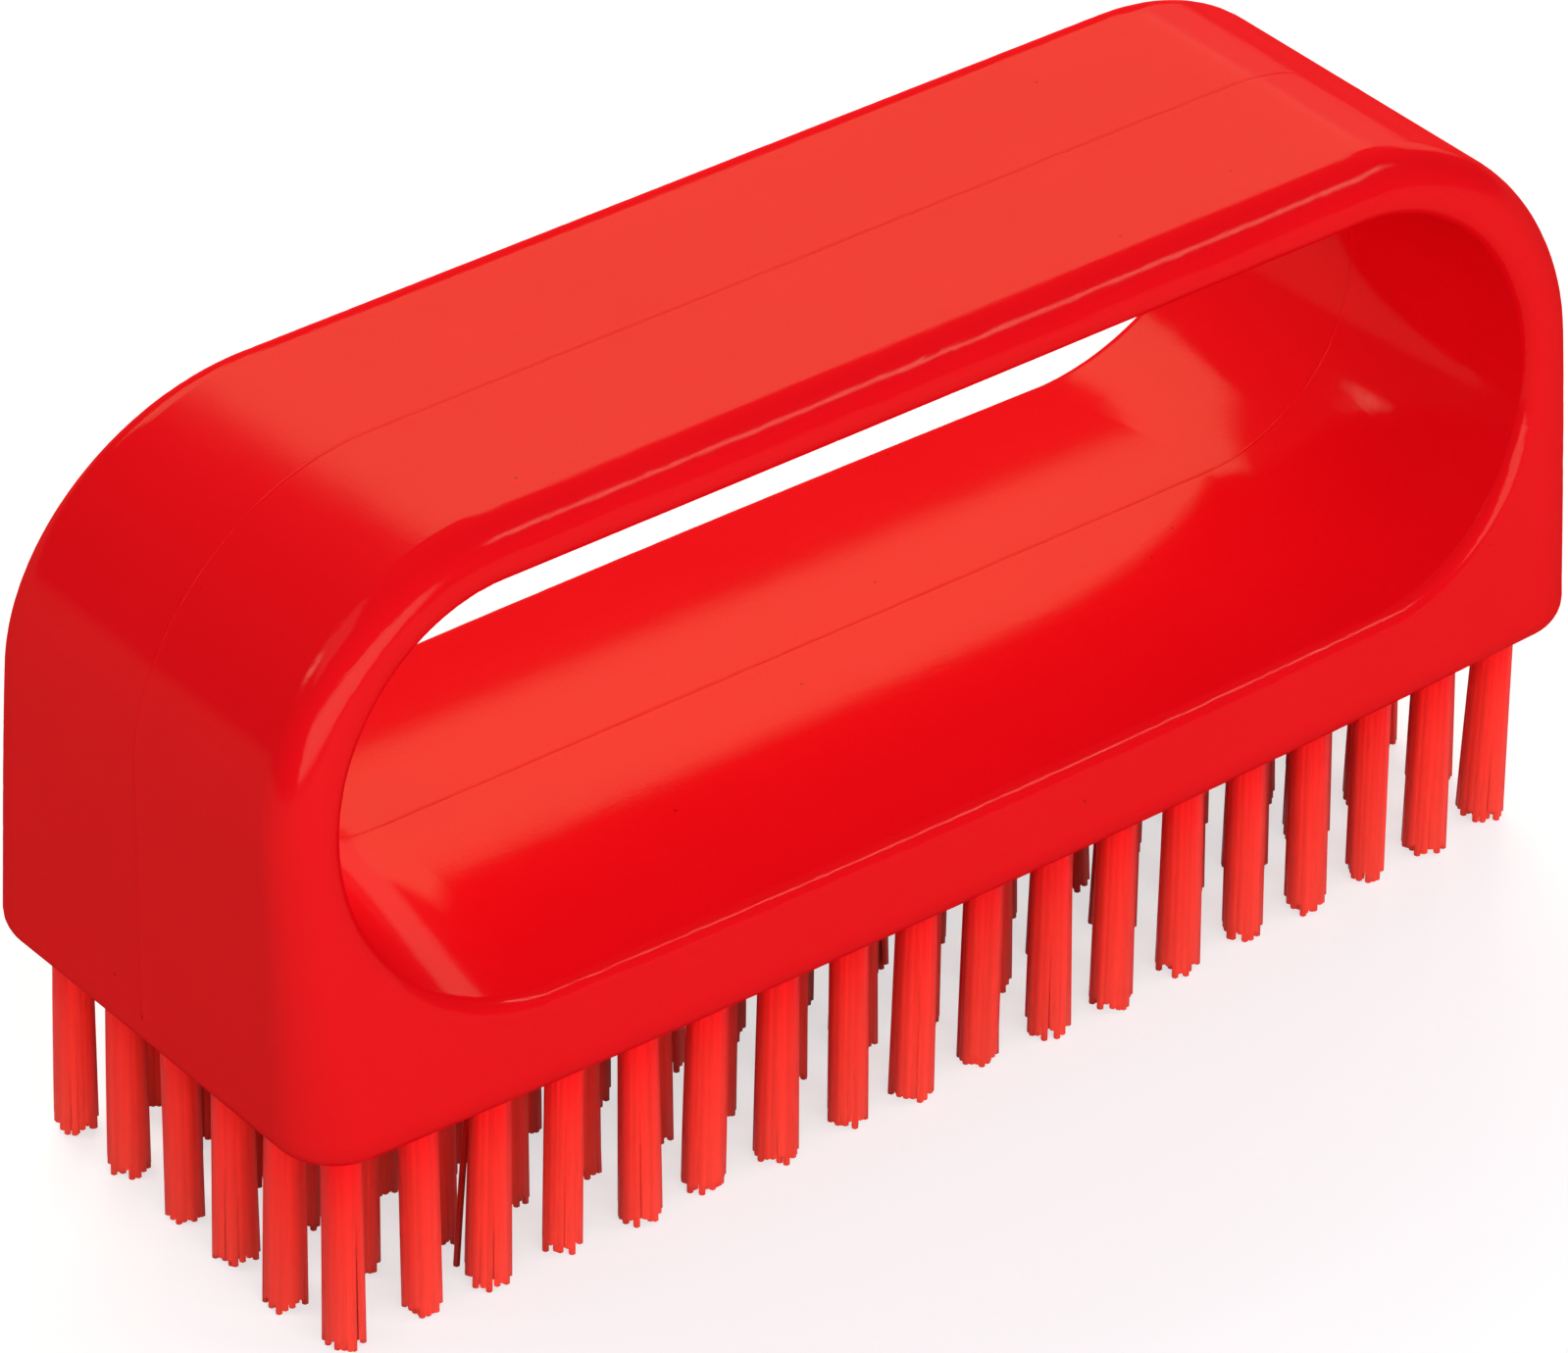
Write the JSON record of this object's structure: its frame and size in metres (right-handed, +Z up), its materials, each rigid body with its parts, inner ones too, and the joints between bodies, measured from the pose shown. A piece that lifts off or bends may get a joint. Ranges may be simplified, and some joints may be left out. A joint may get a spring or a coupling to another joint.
{
  "type": "nail brush",
  "caption": "Hand and nail brush: a moulded plastic block with a finger loop above and straight rows of trimmed bristle tufts held in its underside by wire anchors.",
  "frame": {"origin": "on the plane of the bristle tips, under the middle of the block", "axes": "+X along the block's length, +Y across it, +Z up from the bristle tips to the grip bar"},
  "size_m": [0.1194, 0.0444, 0.0625],
  "materials": {
    "block_plastic": "satin gloss, fine moulded grain",
    "filament": "drawn filament, trimmed square",
    "anchor_wire": "flat drawn wire"
  },
  "bodies": {
    "block": {"handle_block": "block_plastic", "tuft_roots": "filament", "anchor_staples": "anchor_wire"},
    "row_01": {"tuft_row_01": "filament"},
    "row_02": {"tuft_row_02": "filament"},
    "row_03": {"tuft_row_03": "filament"},
    "row_04": {"tuft_row_04": "filament"},
    "row_05": {"tuft_row_05": "filament"},
    "row_06": {"tuft_row_06": "filament"},
    "row_07": {"tuft_row_07": "filament"},
    "row_08": {"tuft_row_08": "filament"},
    "row_09": {"tuft_row_09": "filament"},
    "row_10": {"tuft_row_10": "filament"},
    "row_11": {"tuft_row_11": "filament"},
    "row_12": {"tuft_row_12": "filament"},
    "row_13": {"tuft_row_13": "filament"},
    "row_14": {"tuft_row_14": "filament"},
    "row_15": {"tuft_row_15": "filament"},
    "row_16": {"tuft_row_16": "filament"},
    "row_17": {"tuft_row_17": "filament"},
    "row_18": {"tuft_row_18": "filament"}
  },
  "joints": [
    {"name": "tuft_row_01_bend", "type": "hinge", "parent": "block", "child": "row_01", "pos_m": [-0.0544, 0, 0.018], "axis": [0, 1, 0], "range_deg": [-25, 25], "stiffness_Nm_per_rad": 0.23},
    {"name": "tuft_row_02_bend", "type": "hinge", "parent": "block", "child": "row_02", "pos_m": [-0.048, 0, 0.018], "axis": [0, 1, 0], "range_deg": [-25, 25], "stiffness_Nm_per_rad": 0.23},
    {"name": "tuft_row_03_bend", "type": "hinge", "parent": "block", "child": "row_03", "pos_m": [-0.0416, 0, 0.018], "axis": [0, 1, 0], "range_deg": [-25, 25], "stiffness_Nm_per_rad": 0.23},
    {"name": "tuft_row_04_bend", "type": "hinge", "parent": "block", "child": "row_04", "pos_m": [-0.0352, 0, 0.018], "axis": [0, 1, 0], "range_deg": [-25, 25], "stiffness_Nm_per_rad": 0.23},
    {"name": "tuft_row_05_bend", "type": "hinge", "parent": "block", "child": "row_05", "pos_m": [-0.0288, 0, 0.018], "axis": [0, 1, 0], "range_deg": [-25, 25], "stiffness_Nm_per_rad": 0.23},
    {"name": "tuft_row_06_bend", "type": "hinge", "parent": "block", "child": "row_06", "pos_m": [-0.0224, 0, 0.018], "axis": [0, 1, 0], "range_deg": [-25, 25], "stiffness_Nm_per_rad": 0.23},
    {"name": "tuft_row_07_bend", "type": "hinge", "parent": "block", "child": "row_07", "pos_m": [-0.016, 0, 0.018], "axis": [0, 1, 0], "range_deg": [-25, 25], "stiffness_Nm_per_rad": 0.23},
    {"name": "tuft_row_08_bend", "type": "hinge", "parent": "block", "child": "row_08", "pos_m": [-0.0096, 0, 0.018], "axis": [0, 1, 0], "range_deg": [-25, 25], "stiffness_Nm_per_rad": 0.23},
    {"name": "tuft_row_09_bend", "type": "hinge", "parent": "block", "child": "row_09", "pos_m": [-0.0032, 0, 0.018], "axis": [0, 1, 0], "range_deg": [-25, 25], "stiffness_Nm_per_rad": 0.23},
    {"name": "tuft_row_10_bend", "type": "hinge", "parent": "block", "child": "row_10", "pos_m": [0.0032, 0, 0.018], "axis": [0, 1, 0], "range_deg": [-25, 25], "stiffness_Nm_per_rad": 0.23},
    {"name": "tuft_row_11_bend", "type": "hinge", "parent": "block", "child": "row_11", "pos_m": [0.0096, 0, 0.018], "axis": [0, 1, 0], "range_deg": [-25, 25], "stiffness_Nm_per_rad": 0.23},
    {"name": "tuft_row_12_bend", "type": "hinge", "parent": "block", "child": "row_12", "pos_m": [0.016, 0, 0.018], "axis": [0, 1, 0], "range_deg": [-25, 25], "stiffness_Nm_per_rad": 0.23},
    {"name": "tuft_row_13_bend", "type": "hinge", "parent": "block", "child": "row_13", "pos_m": [0.0224, 0, 0.018], "axis": [0, 1, 0], "range_deg": [-25, 25], "stiffness_Nm_per_rad": 0.23},
    {"name": "tuft_row_14_bend", "type": "hinge", "parent": "block", "child": "row_14", "pos_m": [0.0288, 0, 0.018], "axis": [0, 1, 0], "range_deg": [-25, 25], "stiffness_Nm_per_rad": 0.23},
    {"name": "tuft_row_15_bend", "type": "hinge", "parent": "block", "child": "row_15", "pos_m": [0.0352, 0, 0.018], "axis": [0, 1, 0], "range_deg": [-25, 25], "stiffness_Nm_per_rad": 0.23},
    {"name": "tuft_row_16_bend", "type": "hinge", "parent": "block", "child": "row_16", "pos_m": [0.0416, 0, 0.018], "axis": [0, 1, 0], "range_deg": [-25, 25], "stiffness_Nm_per_rad": 0.23},
    {"name": "tuft_row_17_bend", "type": "hinge", "parent": "block", "child": "row_17", "pos_m": [0.048, 0, 0.018], "axis": [0, 1, 0], "range_deg": [-25, 25], "stiffness_Nm_per_rad": 0.23},
    {"name": "tuft_row_18_bend", "type": "hinge", "parent": "block", "child": "row_18", "pos_m": [0.0544, 0, 0.018], "axis": [0, 1, 0], "range_deg": [-25, 25], "stiffness_Nm_per_rad": 0.23}
  ],
  "couplings": [
    {"joint": "tuft_row_01_bend", "follows": "tuft_row_09_bend", "ratio": 1},
    {"joint": "tuft_row_02_bend", "follows": "tuft_row_09_bend", "ratio": 1},
    {"joint": "tuft_row_03_bend", "follows": "tuft_row_09_bend", "ratio": 1},
    {"joint": "tuft_row_04_bend", "follows": "tuft_row_09_bend", "ratio": 1},
    {"joint": "tuft_row_05_bend", "follows": "tuft_row_09_bend", "ratio": 1},
    {"joint": "tuft_row_06_bend", "follows": "tuft_row_09_bend", "ratio": 1},
    {"joint": "tuft_row_07_bend", "follows": "tuft_row_09_bend", "ratio": 1},
    {"joint": "tuft_row_08_bend", "follows": "tuft_row_09_bend", "ratio": 1},
    {"joint": "tuft_row_10_bend", "follows": "tuft_row_09_bend", "ratio": 1},
    {"joint": "tuft_row_11_bend", "follows": "tuft_row_09_bend", "ratio": 1},
    {"joint": "tuft_row_12_bend", "follows": "tuft_row_09_bend", "ratio": 1},
    {"joint": "tuft_row_13_bend", "follows": "tuft_row_09_bend", "ratio": 1},
    {"joint": "tuft_row_14_bend", "follows": "tuft_row_09_bend", "ratio": 1},
    {"joint": "tuft_row_15_bend", "follows": "tuft_row_09_bend", "ratio": 1},
    {"joint": "tuft_row_16_bend", "follows": "tuft_row_09_bend", "ratio": 1},
    {"joint": "tuft_row_17_bend", "follows": "tuft_row_09_bend", "ratio": 1},
    {"joint": "tuft_row_18_bend", "follows": "tuft_row_09_bend", "ratio": 1}
  ]
}
